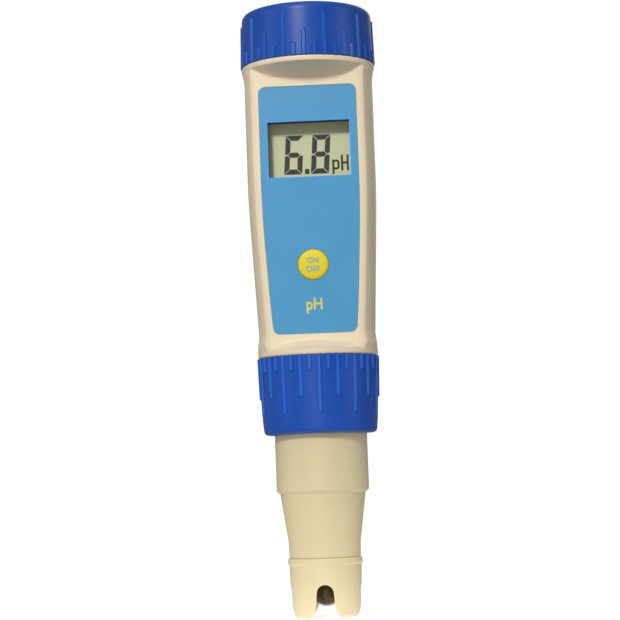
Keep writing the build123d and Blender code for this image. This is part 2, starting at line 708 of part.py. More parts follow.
GUARD_WEB_Z = 11.6
with BuildPart() as sensor_guard:
    with BuildSketch(Plane.XZ):
        with BuildLine():
            Line((0, TIP_Z), (8.9, TIP_Z))
            TangentArc((8.9, TIP_Z), (10.1, 1.2), tangent=(1, 0))
            Polyline((10.1, 1.2), (10.33, 7.9), (10.56, 13.9), (10.56, 15.5))
            ThreePointArc((10.56, 15.5), (10.86, 16.4), (10.56, SHELL_BOTTOM_Z))
            Line((10.56, SHELL_BOTTOM_Z), (0, SHELL_BOTTOM_Z))
            Line((0, SHELL_BOTTOM_Z), (0, TIP_Z))
        make_face()
    revolve(axis=Axis.Z)
    ring(8.95, 0, SHELL_BOTTOM_Z, 20.5)
    ring(GUARD_BORE_R, 0, TIP_Z - 1, GUARD_WEB_Z, mode=Mode.SUBTRACT)
    ring(GUARD_BORE_R, 0, GUARD_WEB_Z + 2.0, 21, mode=Mode.SUBTRACT)
    ring(STEM_R + 0.05, 0, GUARD_WEB_Z - 1, GUARD_WEB_Z + 3, mode=Mode.SUBTRACT)
    with BuildSketch(Plane.XY.offset(GUARD_WEB_Z - 1)):
        with Locations((JUNCTION_X, 0)):
            Circle(JUNCTION_R + 0.01)
    extrude(amount=4, mode=Mode.SUBTRACT)
    for turn in (0, 90):
        with BuildSketch(outward_plane(turn, 0, 0)):
            with BuildLine():
                ThreePointArc((2.5, 7.1), (0, 9.6), (-2.5, 7.1))
                Line((-2.5, 7.1), (-2.8, 2.5))
                ThreePointArc((-2.8, 2.5), (-3.6, 1.2), (-5.0, -0.1))
                Line((-5.0, -0.1), (5.0, -0.1))
                ThreePointArc((5.0, -0.1), (3.6, 1.2), (2.8, 2.5))
                Line((2.8, 2.5), (2.5, 7.1))
            make_face()
        extrude(amount=12, both=True, mode=Mode.SUBTRACT)
sensor_guard.part.label = "sensor_guard"
export_step(sensor_guard.part, "parts/sensor_guard.step")

with BuildPart() as glass_stem:
    ring(STEM_R, STEM_R - 0.8, 9.6, 56)
glass_stem.part.label = "glass_stem"
export_step(glass_stem.part, "parts/glass_stem.step")

BULB_WALL = 0.4
with BuildPart() as glass_bulb:
    with BuildSketch(Plane.XZ):
        with Locations((0, BULB_Z)):
            Circle(BULB_R)
            Circle(BULB_R - BULB_WALL, mode=Mode.SUBTRACT)
        with Locations((0, BULB_Z)):
            Rectangle(40, 40, align=(Align.MAX, Align.CENTER), mode=Mode.SUBTRACT)
        with Locations((0, 9.6)):
            Rectangle(40, 40, align=(Align.CENTER, Align.MIN), mode=Mode.SUBTRACT)
    revolve(axis=Axis.Z)
glass_bulb.part.label = "glass_bulb"
export_step(glass_bulb.part, "parts/glass_bulb.step")

WIRE_R = 0.35
with BuildPart() as silver_wire:
    ring(WIRE_R, 0, 6.6, 60)
silver_wire.part.label = "silver_wire"
export_step(silver_wire.part, "parts/silver_wire.step")

with BuildPart() as bulb_gel:
    with BuildSketch(Plane.XZ):
        with Locations((0, BULB_Z)):
            Circle(BULB_R - BULB_WALL - 0.05)
            Rectangle(40, 40, align=(Align.MAX, Align.CENTER), mode=Mode.SUBTRACT)
    revolve(axis=Axis.Z)
    ring(5, 0, 9.5, 14, mode=Mode.SUBTRACT)
    ring(STEM_R - 0.9, 0, 9.5, 40)
    ring(WIRE_R, 0, 6.6, 41, mode=Mode.SUBTRACT)
bulb_gel.part.label = "bulb_gel"
export_step(bulb_gel.part, "parts/bulb_gel.step")

with BuildPart() as reference_junction:
    with BuildSketch(Plane.XY.offset(GUARD_WEB_Z - 0.3)):
        with Locations((JUNCTION_X, 0)):
            Circle(JUNCTION_R)
    extrude(amount=2.3)
reference_junction.part.label = "reference_junction"
export_step(reference_junction.part, "parts/reference_junction.step")

with BuildPart() as stem_seal:
    ring(GUARD_BORE_R - 0.02, STEM_R + 0.02, GUARD_WEB_Z + 2.0, GUARD_WEB_Z + 5.0)
    with BuildSketch(Plane.XY.offset(GUARD_WEB_Z + 1)):
        with Locations((JUNCTION_X, 0)):
            Circle(JUNCTION_R)
    extrude(amount=8, mode=Mode.SUBTRACT)
stem_seal.part.label = "stem_seal"
export_step(stem_seal.part, "parts/stem_seal.step")

with BuildPart() as reference_gel:
    ring(8.9, STEM_R + 0.05, 20.6, 50)
    with BuildSketch(Plane.XY.offset(20)):
        with Locations((JUNCTION_X, 0)):
            Circle(WIRE_R)
    extrude(amount=32, mode=Mode.SUBTRACT)
reference_gel.part.label = "reference_gel"
export_step(reference_gel.part, "parts/reference_gel.step")

with BuildPart() as reference_wire:
    with BuildSketch(Plane.XY.offset(21)):
        with Locations((JUNCTION_X, 0)):
            Circle(WIRE_R - 0.02)
    extrude(amount=36.9)
reference_wire.part.label = "reference_wire"
export_step(reference_wire.part, "parts/reference_wire.step")

PLUG_BOTTOM_Z = 58.0
PLUG_TOP_Z = 67.5
with BuildPart() as sensor_plug:
    ring(10.35, 0, PLUG_BOTTOM_Z, PLUG_TOP_Z)
    ring(WIRE_R + 0.02, 0, PLUG_BOTTOM_Z - 1, 61, mode=Mode.SUBTRACT)
    with BuildSketch(Plane.XY.offset(PLUG_TOP_Z)):
        with Locations(*PIN_SPOTS):
            Circle(0.62)
    extrude(amount=-4.5, mode=Mode.SUBTRACT)
sensor_plug.part.label = "sensor_plug"
export_step(sensor_plug.part, "parts/sensor_plug.step")

with BuildPart() as sensor_pins:
    with BuildSketch(Plane.XY.offset(PLUG_TOP_Z - 4.4)):
        with Locations(*PIN_SPOTS):
            Circle(0.6)
    extrude(amount=13.0)
sensor_pins.part.label = "sensor_pins"
export_step(sensor_pins.part, "parts/sensor_pins.step")

with BuildPart() as sensor_oring:
    with BuildSketch(Plane.XZ):
        with Locations((12.34, 64.6)):
            Circle(0.46)
    revolve(axis=Axis.Z)
sensor_oring.part.label = "sensor_oring"
export_step(sensor_oring.part, "parts/sensor_oring.step")

# ---------------------------------------------------------------- collar
COLLAR_RIBS = ((1.0, 16.7), (10.0, 4.5), (28.0, 4.5), (19.0, 11.9))
with BuildPart() as sensor_collar:
    rib_family(COLLAR_RIBS, COLLAR_TOP_Z, 16.4, 2.0, 1.1, -1)
    with BuildSketch(Plane.XZ):
        Polygon((0, 50), (16.9, 53), (17.3, 57), (17.58, 63), (17.93, 74.6), (17.7, COLLAR_TOP_Z),
                (0, COLLAR_TOP_Z), align=None)
    revolve(axis=Axis.Z, mode=Mode.INTERSECT)
    with BuildSketch(Plane.XZ):
        with BuildLine():
            Line((0, COLLAR_BOTTOM_Z), (15.4, COLLAR_BOTTOM_Z))
            TangentArc((15.4, COLLAR_BOTTOM_Z), (16.5, 54.3), tangent=(1, 0))
            Spline((16.5, 54.3), (16.85, 57.2), (17.15, 63.0), (17.5, 74.7), tangents=((0.12, 1), (0.02, 1)))
            Line((17.5, 74.7), (17.0, COLLAR_TOP_Z))
            Line((17.0, COLLAR_TOP_Z), (0, COLLAR_TOP_Z))
            Line((0, COLLAR_TOP_Z), (0, COLLAR_BOTTOM_Z))
        make_face()
    revolve(axis=Axis.Z)
    ring(COLLAR_BORE_R, 0, 54.8, COLLAR_TOP_Z + 1, mode=Mode.SUBTRACT)
    ring(COLLAR_LIP_R, 0, COLLAR_BOTTOM_Z - 1, 54.9, mode=Mode.SUBTRACT)
    add(collar_ridge)
sensor_collar.part.label = "sensor_collar"
export_step(sensor_collar.part, "parts/sensor_collar.step")

with BuildPart() as slip_washer:
    ring(15.6, 13.9, 54.8, 55.1)
slip_washer.part.label = "slip_washer"
export_step(slip_washer.part, "parts/slip_washer.step")
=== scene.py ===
import math

import bmesh
import bpy
from mathutils import Matrix, Vector


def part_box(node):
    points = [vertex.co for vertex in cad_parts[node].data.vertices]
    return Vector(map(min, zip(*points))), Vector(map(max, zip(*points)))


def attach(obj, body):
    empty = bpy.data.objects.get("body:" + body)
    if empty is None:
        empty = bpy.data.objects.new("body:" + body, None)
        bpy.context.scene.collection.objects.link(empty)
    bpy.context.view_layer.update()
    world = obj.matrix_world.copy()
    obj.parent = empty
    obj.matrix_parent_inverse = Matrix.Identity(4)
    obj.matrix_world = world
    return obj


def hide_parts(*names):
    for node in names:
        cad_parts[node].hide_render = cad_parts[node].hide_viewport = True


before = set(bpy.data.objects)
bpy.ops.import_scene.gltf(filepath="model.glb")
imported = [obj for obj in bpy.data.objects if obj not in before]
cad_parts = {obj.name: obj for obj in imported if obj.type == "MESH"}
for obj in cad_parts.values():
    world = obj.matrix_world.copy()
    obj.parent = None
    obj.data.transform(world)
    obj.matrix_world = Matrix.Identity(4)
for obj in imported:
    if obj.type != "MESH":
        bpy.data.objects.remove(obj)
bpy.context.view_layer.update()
MM = 0.001

# ------------------------------------------------------------------ materials


NOISE_START = 0.3
NOISE_STOP = 0.7


def plain(value):
    """Opaque colour for a node socket."""
    return (value[0], value[1], value[2], 1.0)


def new_material(name):
    """Empty node material with its shader and output."""
    material = bpy.data.materials.new(name)
    material.use_nodes = True
    nodes = material.node_tree.nodes
    nodes.clear()
    output = nodes.new("ShaderNodeOutputMaterial")
    shader = nodes.new("ShaderNodeBsdfPrincipled")
    material.node_tree.links.new(shader.outputs[0], output.inputs[0])
    return material, shader


def object_noise(material, scale, detail=3.0, roughness=0.5):
    """Noise that is fixed to the object, in metres."""
    nodes, links = material.node_tree.nodes, material.node_tree.links
    place = nodes.new("ShaderNodeTexCoord")
    noise = nodes.new("ShaderNodeTexNoise")
    noise.inputs["Scale"].default_value = scale
    noise.inputs["Detail"].default_value = detail
    noise.inputs["Roughness"].default_value = roughness
    links.new(place.outputs["Object"], noise.inputs["Vector"])
    return noise


def spread(material, noise, low, high, start=NOISE_START, stop=NOISE_STOP):
    """Maps a noise onto a range of values."""
    nodes, links = material.node_tree.nodes, material.node_tree.links
    change = nodes.new("ShaderNodeMapRange")
    change.inputs["From Min"].default_value = start
    change.inputs["From Max"].default_value = stop
    change.inputs["To Min"].default_value = low
    change.inputs["To Max"].default_value = high
    links.new(noise.outputs[0], change.inputs["Value"])
    return change


def tint(material, shader, noise, first, second):
    """Mottles the base colour between two close colours."""
    nodes, links = material.node_tree.nodes, material.node_tree.links
    ramp = nodes.new("ShaderNodeValToRGB")
    ramp.color_ramp.elements[0].position = NOISE_START
    ramp.color_ramp.elements[0].color = plain(first)
    ramp.color_ramp.elements[1].position = NOISE_STOP
    ramp.color_ramp.elements[1].color = plain(second)
    links.new(noise.outputs[0], ramp.inputs[0])
    links.new(ramp.outputs[0], shader.inputs["Base Color"])


def grain(material, shader, noise, height):
    """Fine relief; height in metres."""
    nodes, links = material.node_tree.nodes, material.node_tree.links
    bump = nodes.new("ShaderNodeBump")
    bump.inputs["Strength"].default_value = 1.0
    bump.inputs["Distance"].default_value = height
    links.new(noise.outputs[0], bump.inputs["Height"])
    links.new(bump.outputs[0], shader.inputs["Normal"])


def moulded(name, first, second, rough, specular=0.5, grain_scale=9000.0, grain_height=4e-6):
    """Moulded plastic: spark-eroded grain, slow colour drift, uneven gloss."""
    material, shader = new_material(name)
    slow = object_noise(material, 60.0, 4.0)
    tint(material, shader, slow, first, second)
    wear = object_noise(material, 700.0, 4.0, 0.6)
    gloss = spread(material, wear, rough - 0.05, rough + 0.06)
    material.node_tree.links.new(gloss.outputs[0], shader.inputs["Roughness"])
    fine = object_noise(material, grain_scale, 2.0)
    grain(material, shader, fine, grain_height)
    shader.inputs["Specular IOR Level"].default_value = specular
    return material


def metal(name, colour, rough):
    """Bare or plated metal with fine rolling marks."""
    material, shader = new_material(name)
    slow = object_noise(material, 400.0, 3.0)
    darker = [0.85 * c for c in colour]
    tint(material, shader, slow, darker, colour)
    fine = object_noise(material, 3000.0, 3.0)
    gloss = spread(material, fine, rough - 0.06, rough + 0.08)
    material.node_tree.links.new(gloss.outputs[0], shader.inputs["Roughness"])
    grain(material, shader, fine, 2e-6)
    shader.inputs["Metallic"].default_value = 1.0
    return material


def handled(name, colour, low, high):
    """Glossy clear material with faint handling marks; roughness runs from low to high."""
    material, shader = new_material(name)
    marks = object_noise(material, 900.0, 5.0, 0.7)
    gloss = spread(material, marks, low, high, 0.5, 0.8)
    material.node_tree.links.new(gloss.outputs[0], shader.inputs["Roughness"])
    shader.inputs["Base Color"].default_value = plain(colour)
    return material, shader


def clear(name, colour, rough, ior):
    """Solid clear glass."""
    material, shader = handled(name, colour, rough, rough + 0.05)
    shader.inputs["Transmission Weight"].default_value = 1.0
    shader.inputs["IOR"].default_value = ior
    return material


def thin_clear(name, veil, colour=(0.03, 0.035, 0.03)):
    """Clear sheet that lets light and shadows straight through, with a faint gloss."""
    material, shader = handled(name, colour, 0.04, 0.1)
    shader.inputs["Alpha"].default_value = veil
    return material


def shader_of(material):
    """The material's main shader node."""
    return next(node for node in material.node_tree.nodes if node.type == "BSDF_PRINCIPLED")


def paint_rib_highlights(material, colour):
    """Painted highlight: paler plastic where the mesh marks a raised rib."""
    nodes, links = material.node_tree.nodes, material.node_tree.links
    base = shader_of(material).inputs["Base Color"]
    mark = nodes.new("ShaderNodeAttribute")
    mark.attribute_name = "rib"
    mix = nodes.new("ShaderNodeMix")
    mix.data_type = "RGBA"
    links.new(mark.outputs["Fac"], mix.inputs[0])
    links.new(base.links[0].from_socket, mix.inputs[6])
    mix.inputs[7].default_value = plain(colour)
    links.new(mix.outputs[2], base)


IVORY = ((0.81, 0.68, 0.475), (0.85, 0.72, 0.51))
SENSOR_IVORY = ((0.71, 0.60, 0.365), (0.75, 0.64, 0.395))
CAP_BLUE = ((0.007, 0.062, 0.33), (0.010, 0.072, 0.37))
COLLAR_BLUE = ((0.009, 0.072, 0.40), (0.012, 0.085, 0.44))
LABEL_BLUE = ((0.048, 0.285, 0.53), (0.056, 0.31, 0.57))
YELLOW = ((0.76, 0.60, 0.012), (0.82, 0.66, 0.02))

ivory = moulded("ivory_plastic", *IVORY, 0.42, 0.45)
sensor_ivory = moulded("sensor_ivory_plastic", *SENSOR_IVORY, 0.42, 0.45)
cap_blue = moulded("cap_blue_plastic", *CAP_BLUE, 0.34, 0.28)
collar_blue = moulded("collar_blue_plastic", *COLLAR_BLUE, 0.36, 0.25)
# Paler blue on the raised ribs of cap and collar is a painted highlight.
paint_rib_highlights(cap_blue, (0.010, 0.088, 0.45))
paint_rib_highlights(collar_blue, (0.017, 0.135, 0.62))
label_blue = moulded("label_film", *LABEL_BLUE, 0.4, 0.4, 14000.0, 2e-6)
yellow = moulded("button_yellow", *YELLOW, 0.42, 0.25)
yellow_ink = moulded("yellow_ink", (0.72, 0.62, 0.03), (0.76, 0.66, 0.05), 0.5)
grey_ink = moulded("button_ink", (0.18, 0.42, 0.42), (0.22, 0.46, 0.45), 0.5)
black = moulded("black_plastic", (0.018, 0.018, 0.018), (0.028, 0.028, 0.028), 0.5)
rubber = moulded("rubber", (0.015, 0.015, 0.015), (0.025, 0.025, 0.025), 0.62)
board_green = moulded("solder_mask", (0.01, 0.12, 0.05), (0.02, 0.16, 0.07), 0.3)
ceramic = moulded("sintered_ceramic", (0.55, 0.5, 0.42), (0.62, 0.56, 0.48), 0.7)
polymer = moulded("pale_polymer", (0.62, 0.62, 0.58), (0.68, 0.68, 0.64), 0.45)
gel = moulded("salt_gel", (0.5, 0.52, 0.5), (0.56, 0.58, 0.56), 0.3)
# The dark brown gel colour is painted shade; its orange second colour is a painted reflection.
gel_shade_and_reflection = moulded("gel_shade_and_reflection", (0.045, 0.024, 0.008), (0.16, 0.065, 0.012), 0.2)
steel = metal("bright_steel", (0.66, 0.66, 0.64), 0.28)
brass = metal("gold_plate", (0.83, 0.62, 0.27), 0.28)
lcd_back = moulded("lcd_back", (0.88, 0.90, 0.53), (0.91, 0.93, 0.56), 0.35, 0.3, 4000.0, 1e-6)
lcd_ink = moulded("lcd_ink", (0.042, 0.046, 0.038), (0.052, 0.056, 0.046), 0.45, 0.3)
# Bright blue line round the window is a painted edge highlight.
window_highlight_paint = moulded("window_edge_painted_highlight", (0.05, 0.32, 0.80), (0.06, 0.35, 0.84), 0.4, 0.3)
window_clear = thin_clear("window_clear", 0.035)
ph_glass = thin_clear("ph_glass", 0.38, (0.10, 0.07, 0.02))
stem_glass = clear("stem_glass", (0.9, 0.95, 0.93), 0.02, 1.5)

for plastic in (ivory, sensor_ivory):
    body_shader = shader_of(plastic)
    body_shader.inputs["Subsurface Weight"].default_value = 0.25
    body_shader.inputs["Subsurface Radius"].default_value = (1.0, 0.7, 0.4)
    body_shader.inputs["Subsurface Scale"].default_value = 0.0015

FINISH = {
    "housing": ivory,
    "front_label": label_blue,
    "ph_marking": yellow_ink,
    "window_lens": window_clear,
    "display_gasket": rubber,
    "lcd_front_glass": window_clear,
    "lcd_segments": lcd_ink,
    "lcd_rear_glass": lcd_back,
    "zebra_strips": rubber,
    "lcd_reflector": polymer,
    "display_frame": black,
    "circuit_board": board_green,
    "board_screws": steel,
    "controller_blob": black,
    "amplifier_chip": black,
    "crystal": steel,
    "passives": ceramic,
    "switch_base": black,
    "button_seal": rubber,
    "cap_oring": rubber,
    "battery_strips": brass,
    "sensor_socket": black,
    "socket_contacts": brass,
    "socket_leads": brass,
    "battery_tray": black,
    "button_cells": steel,
    "tray_contacts": brass,
    "battery_cap": cap_blue,
    "swivel_rivet": polymer,
    "power_button": yellow,
    "button_marking": grey_ink,
    "switch_plunger": polymer,
    "sensor_shell": sensor_ivory,
    "sensor_guard": sensor_ivory,
    "glass_stem": stem_glass,
    "glass_bulb": ph_glass,
    "silver_wire": steel,
    "bulb_gel": gel_shade_and_reflection,
    "reference_junction": ceramic,
    "stem_seal": rubber,
    "reference_gel": gel,
    "reference_wire": steel,
    "sensor_plug": black,
    "sensor_pins": brass,
    "sensor_oring": rubber,
    "sensor_collar": collar_blue,
    "slip_washer": polymer,
}
for node_name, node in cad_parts.items():
    node.data.materials.clear()
    node.data.materials.append(FINISH[node_name])

# ------------------------------------------------------------------ mesh tools


def to_mesh(name, rings, wrap=True):
    """Mesh from rings of points in millimetres; a ring of radius zero closes an end."""
    count = len(rings[0])
    points = [(x * MM, y * MM, z * MM) for ring in rings for x, y, z in ring]
    faces = []
    for row in range(len(rings) - 1):
        low, high = row * count, (row + 1) * count
        for column in range(count if wrap else count - 1):
            following = (column + 1) % count
            faces.append((low + column, low + following, high + following, high + column))
    mesh = bpy.data.meshes.new(name)
    mesh.from_pydata(points, [], faces)
    tidy_mesh(mesh)
    return mesh


MERGE = 2e-6


def tidy_mesh(mesh):
    """Merges doubles, drops slivers and turns the faces outwards."""
    work = bmesh.new()
    work.from_mesh(mesh)
    bmesh.ops.remove_doubles(work, verts=work.verts, dist=MERGE)
    bmesh.ops.dissolve_degenerate(work, edges=work.edges, dist=MERGE)
    bmesh.ops.recalc_face_normals(work, faces=work.faces)
    work.to_mesh(mesh)
    work.free()


def shade(mesh, angle):
    """Smooth shading with crisp edges above an angle in degrees."""
    mesh.polygons.foreach_set("use_smooth", [True] * len(mesh.polygons))
    mesh.set_sharp_from_angle(angle=math.radians(angle))


def place(name, mesh, body, material, slot, *replaced, angle=32.0):
    """Puts a finished mesh in the scene as a piece that rides on a body."""
    piece = bpy.data.objects.new(name, mesh)
    bpy.context.scene.collection.objects.link(piece)
    mesh.materials.clear()
    mesh.materials.append(material)
    shade(mesh, angle)
    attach(piece, body)
    if replaced:
        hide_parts(*replaced)


def rounded(corners, steps=6):
    """Profile through (radius, height, rounding) corners, with arcs at the rounded ones."""
    line = []
    for index, (r, z, rounding) in enumerate(corners):
        here = Vector((r, z))
        if rounding == 0 or index in (0, len(corners) - 1):
            line.append(here)
            continue
        before = Vector(corners[index - 1][:2]) - here
        after = Vector(corners[index + 1][:2]) - here
        half = before.angle(after) / 2
        reach = min(rounding / math.tan(half), before.length * 0.49, after.length * 0.49)
        radius = reach * math.tan(half)
        start = here + before.normalized() * reach
        end = here + after.normalized() * reach
        centre = here + (before.normalized() + after.normalized()).normalized() * (radius / math.sin(half))
        for step in range(steps + 1):
            chord = start.lerp(end, step / steps) - centre
            line.append(centre + chord.normalized() * radius)
    return line


def refined(line, longest):
    """The same profile with no stretch longer than a limit."""
    result = [line[0]]
    for start, end in zip(line, line[1:]):
        pieces = max(1, math.ceil((end - start).length / longest))
        result.extend(start.lerp(end, k / pieces) for k in range(1, pieces + 1))
    return result


def turned(line, segments, relief=None):
    """Rings of a profile turned about the axis; angles run from the front towards +X."""
    rings = []
    for r, z in line:
        ring = []
        for step in range(segments):
            angle = 2 * math.pi * step / segments
            reach = relief(angle, r, z) if relief and r > 0 else r
            ring.append((reach * math.sin(angle), -reach * math.cos(angle), z))
        rings.append(ring)
    return rings


def smooth_step(value):
    """Eased 0 to 1."""
    value = min(1.0, max(0.0, value))
    return value * value * (3 - 2 * value)


def cut(target_mesh, cutter_meshes):
    """Cuts closed meshes out of a closed mesh and returns a new mesh."""
    target = bpy.data.objects.new("work_target", target_mesh)
    bpy.context.scene.collection.objects.link(target)
    cutters = []
    for cutter_mesh in cutter_meshes:
        cutter = bpy.data.objects.new("work_cutter", cutter_mesh)
        bpy.context.scene.collection.objects.link(cutter)
        cutters.append(cutter)
        modifier = target.modifiers.new("cut", "BOOLEAN")
        modifier.operation = "DIFFERENCE"
        modifier.solver = "EXACT"
        modifier.object = cutter
    bpy.context.view_layer.update()
    result = bpy.data.meshes.new_from_object(target.evaluated_get(bpy.context.evaluated_depsgraph_get()))
    for used in [target, *cutters]:
        bpy.data.objects.remove(used)
    return result


def prism(outline, y_front, y_back):
    """Closed prism along Y from an (x, z) outline, in millimetres."""
    count = len(outline)
    points = [(x * MM, y * MM, z * MM) for y in (y_front, y_back) for x, z in outline]
    faces = [tuple(range(count)), tuple(range(2 * count - 1, count - 1, -1))]
    faces += [(k, count + k, count + (k + 1) % count, (k + 1) % count) for k in range(count)]
    mesh = bpy.data.meshes.new("prism")
    mesh.from_pydata(points, [], faces)
    tidy_mesh(mesh)
    return mesh


def arc_points(centre, radius, start, end, steps):
    """Points along an arc, angles in degrees."""
    for step in range(steps + 1):
        a = math.radians(start + (end - start) * step / steps)
        yield centre[0] + radius * math.cos(a), centre[1] + radius * math.sin(a)


# ------------------------------------------------------------------ ribbed cap and collar
LEAD = 3.0
RIDGE_ROOT = 0.62
RIDGE_TIP = 0.35
INNER_RIDGE = 0.7
TURN_STEPS = 720
# Rib patterns: degrees from the front, length of the rib; repeated round the wall.
RIB_REPEAT = 36.0
CAP_RIBS = ((17.7, 13.1), (8.7, 3.9), (26.7, 3.9), (35.7, 7.7))
CAP_RIB_WIDTH = 1.15
CAP_RIB_HEIGHT = 0.43
COLLAR_RIBS = ((3.0, 16.7), (12.0, 4.5), (30.0, 4.5), (21.0, 11.9))
COLLAR_RIB_WIDTH = 0.98
COLLAR_RIB_HEIGHT = 0.41
RIB_FLANK = 0.28


def capsule_rise(arc_distance, along, length, width):
    """Height share of a rib that starts at an edge (along = 0) and ends in a half round."""
    end = length - width / 2
    beyond = max(0.0, along - end)
    distance = math.hypot(arc_distance, beyond)
    return smooth_step((width / 2 + RIB_FLANK / 2 - distance) / RIB_FLANK)


def rib_relief(pattern, edge_z, direction, width, height, wall_low, r_min):
    """Relief of a rib pattern on the wall outside r_min, fading out wall_low from the edge."""
    def relief(angle, r, z):
        if r < r_min:
            return r
        along = (z - edge_z) * direction
        best = 0.0
        for first, length in pattern:
            if along > length + RIB_FLANK:
                continue
            away = (math.degrees(angle) - first + RIB_REPEAT / 2) % RIB_REPEAT - RIB_REPEAT / 2
            arc_distance = abs(math.radians(away)) * r
            if arc_distance < width:
                best = max(best, capsule_rise(arc_distance, along, length, width))
        return r + height * best * smooth_step(wall_low - abs(along) + 1.0)
    return relief


def thread_rise(angle, z, z_start, turns):
    """Height share of a right-hand thread ridge that starts at +X."""
    best = 0.0
    turn_share = (angle / (2 * math.pi) - 0.25) % 1.0
    whole = 0
    while whole + turn_share <= turns:
        centre = z_start + LEAD * (whole + turn_share)
        best = max(best, smooth_step((RIDGE_ROOT - abs(z - centre)) / (RIDGE_ROOT - RIDGE_TIP)))
        whole += 1
    return best


def mark_ribs(mesh, wall, height):
    """Marks how far each point stands above the plain wall, the mask for the painted rib highlight; wall
    holds (radius, z) pairs.
    """
    shares = []
    for vertex in mesh.vertices:
        z, r = vertex.co.z / MM, math.hypot(vertex.co.x, vertex.co.y) / MM
        for (low, z_low), (high, z_high) in zip(wall, wall[1:]):
            if z_low <= z <= z_high:
                rise = r - low - (high - low) * (z - z_low) / (z_high - z_low)
                shares.append(smooth_step(1.6 * rise / height - 0.6))
                break
        else:
            shares.append(0.0)
    mesh.attributes.new("rib", "FLOAT", "POINT").data.foreach_set("value", shares)


def build_battery_cap():
    """Battery cap: rounded ribs outside, thread inside."""
    low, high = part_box("battery_cap")
    z0, z1 = low.z / MM, high.z / MM
    bore, wall, crown, top = 17.45, 19.55, 19.15, 2.2
    chamfer = 0.25
    ribs = rib_relief(CAP_RIBS, z0, 1, CAP_RIB_WIDTH, CAP_RIB_HEIGHT, 14.5, 18.6)

    def relief(angle, r, z):
        if abs(r - bore) < 0.01:
            return r - INNER_RIDGE * thread_rise(angle, z, 167.5, 1.0)
        return ribs(angle, r, z)

    inside = refined(rounded([(0, z1 - top, 0), (bore, z1 - top, 0.4), (bore, z0, 0.3)]), 0.2)
    outside = rounded([(bore, z0, 0), (wall, z0, 0.2), (crown, z1, 2.2), (0, z1, 0)], 10)
    rim = [Vector((bore, z0 + chamfer)), Vector((bore + chamfer, z0))]
    line = inside[:-1] + rim + refined(outside[1:], 0.22)
    mesh = to_mesh("battery_cap_shell", turned(line, TURN_STEPS, relief))
    mark_ribs(mesh, ((wall, z0), (wall + (crown - wall) * 0.85, z1 - 2.5)), CAP_RIB_HEIGHT)
    place("battery_cap_shell", mesh, "cap", cap_blue, "battery_cap", "battery_cap")


def build_collar():
    """Sensor collar: ribs hang from its top edge, thread and inner lip inside."""
    low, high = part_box("sensor_collar")
    z0, z1 = low.z / MM, high.z / MM
    bore, lip, lip_top = 15.75, 13.75, 54.9
    waist, middle, brim = (16.85, 57.2), (17.15, 63.0), (17.5, z1)
    ribs = rib_relief(COLLAR_RIBS, z1, -1, COLLAR_RIB_WIDTH, COLLAR_RIB_HEIGHT, 17.5, 16.2)

    def relief(angle, r, z):
        if abs(r - bore) < 0.01:
            return r - INNER_RIDGE * thread_rise(angle, z, 65.5, 1.0)
        return ribs(angle, r, z)

    corners = [
        (lip, z0, 0), (16.45, z0, 1.25), (*waist, 6), (*middle, 20), (*brim, 0.22),
        (bore, z1, 0.25), (bore, lip_top, 0), (lip, lip_top, 0.2), (lip, z0, 0),
    ]
    line = refined(rounded(corners, 6), 0.2)
    mesh = to_mesh("collar_shell", turned(line, TURN_STEPS, relief))
    mark_ribs(mesh, (waist, middle, brim), COLLAR_RIB_HEIGHT)
    place("collar_shell", mesh, "collar", collar_blue, "sensor_collar", "sensor_collar")


# ------------------------------------------------------------------ barrel
FACE_Y = 11.0
FULLNESS = 1.10
LARGEST_R = 19.77
LOWER_RIM_Z = 75.55
UPPER_RIM_Z = 161.75
LOWER_NECK_R = 14.6
UPPER_NECK_R = 16.3
UPPER_RIDGE = 0.8
THREAD_STEP = 0.15
BAY_R = 12.9
WINDOW_Z = 135.85
BUTTON_Z = 101.9
CLOSE_RINGS = 0.16
WIDE_RINGS = 1.2
BISECTIONS = 22
LEDGES = (
    # fold height, fold half width, arc height, arc half width, arc radius
    (157.3, 11.5, 160.35, 17.0, 19.55),
    (80.1, 8.2, 77.2, 13.9, 17.5),
)
# Height and half width of the barrel's outline.
HALF_WIDTHS = (
    (75.5, 17.57), (77.4, 17.57), (79.2, 17.50), (80.6, 17.28), (82.3, 17.10), (86.7, 17.30), (92.6, 17.57),
    (98.5, 17.84), (107.0, 18.25), (116.0, 18.68), (124.0, 18.94), (132.0, 18.97), (156.6, 18.97),
    (158.4, 19.10), (159.8, 19.38), (160.6, 19.62), (161.8, 19.74),
)


def half_width(z):
    """Half width of the barrel at a height."""
    for (z_low, low), (z_high, high) in zip(HALF_WIDTHS, HALF_WIDTHS[1:]):
        if z <= z_high:
            return low + (high - low) * (z - z_low) / (z_high - z_low)
    return HALF_WIDTHS[-1][1]


def soft_min(a, b, k):
    """Smaller of two values, blended over a span k."""
    blend = max(0.0, min(1.0, 0.5 + 0.5 * (b - a) / k))
    return b + (a - b) * blend - k * blend * (1 - blend)


def ledge_reach(z, sine, cosine, ledge):
    """Distance from the axis to a sloped ledge along one direction, or 0 where it has none."""
    fold_z, fold_x, arc_z, arc_x, arc_r = ledge
    share = (z - fold_z) / (arc_z - fold_z)
    if not 0 <= share:
        return 0.0
    share = min(share, 1.0)
    span = fold_x + (arc_x - fold_x) * share
    near, far = 0.0, 22.0
    for _ in range(BISECTIONS):
        depth = (near + far) / 2
        u = depth * sine / max(cosine, 1e-6) / span
        surface = FACE_Y * (1 - share) + share * math.sqrt(max(0.0, arc_r ** 2 - (arc_x * u) ** 2))
        if surface > depth:
            near = depth
        else:
            far = depth
    if abs(u) > 1.0:
        return 0.0
    return math.hypot(depth * sine / max(cosine, 1e-6), depth)


